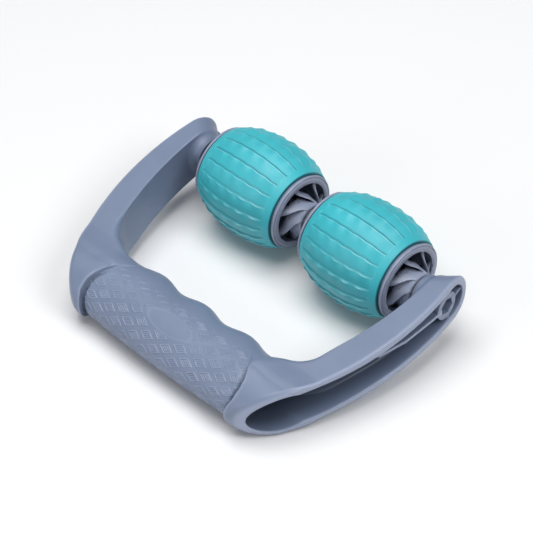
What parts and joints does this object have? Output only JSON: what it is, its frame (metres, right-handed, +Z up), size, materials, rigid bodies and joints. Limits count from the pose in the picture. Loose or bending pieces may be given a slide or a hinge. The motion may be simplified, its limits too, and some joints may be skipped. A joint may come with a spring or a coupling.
{
  "type": "foot massage roller",
  "caption": "Hand-held massage roller: ribbed barrel rollers turning on one axle between the arms of a U-shaped moulded handle with finger grooves.",
  "frame": {"origin": "middle of the object's box, on the surface it rests on", "axes": "+X along the axle towards the nut, +Y from the grip towards the rollers, +Z up"},
  "size_m": [0.1624, 0.1256, 0.0496],
  "materials": {
    "handle_plastic": "satin moulded polypropylene, grey-blue",
    "hub_plastic": "satin moulded plastic, grey-blue",
    "sleeve_rubber": "soft satin thermoplastic rubber, teal",
    "bright_steel": "zinc-plated steel",
    "tube_steel": "drawn steel tube",
    "white_nylon": "natural nylon",
    "bush_acetal": "smooth acetal",
    "washer_nylon": "dark nylon"
  },
  "bodies": {
    "handle": {"handle_frame": "handle_plastic", "axle_bolt": "bright_steel", "axle_nut": "bright_steel", "nut_lock_ring": "white_nylon", "axle_tube": "tube_steel", "left_thrust_washer": "washer_nylon", "centre_thrust_washer": "washer_nylon", "right_thrust_washer": "washer_nylon"},
    "left_roller": {"left_roller_sleeve": "sleeve_rubber", "left_roller_core": "hub_plastic", "left_outer_hub": "hub_plastic", "left_inner_hub": "hub_plastic", "left_outer_bush": "bush_acetal", "left_inner_bush": "bush_acetal"},
    "right_roller": {"right_roller_sleeve": "sleeve_rubber", "right_roller_core": "hub_plastic", "right_outer_hub": "hub_plastic", "right_inner_hub": "hub_plastic", "right_outer_bush": "bush_acetal", "right_inner_bush": "bush_acetal"}
  },
  "joints": [
    {"name": "left_roller_spin", "type": "hinge", "parent": "handle", "child": "left_roller", "pos_m": [-0.0324, 0.03804, 0.0248], "axis": [1, 0, 0], "continuous": true},
    {"name": "right_roller_spin", "type": "hinge", "parent": "handle", "child": "right_roller", "pos_m": [0.0324, 0.03804, 0.0248], "axis": [1, 0, 0], "continuous": true}
  ]
}
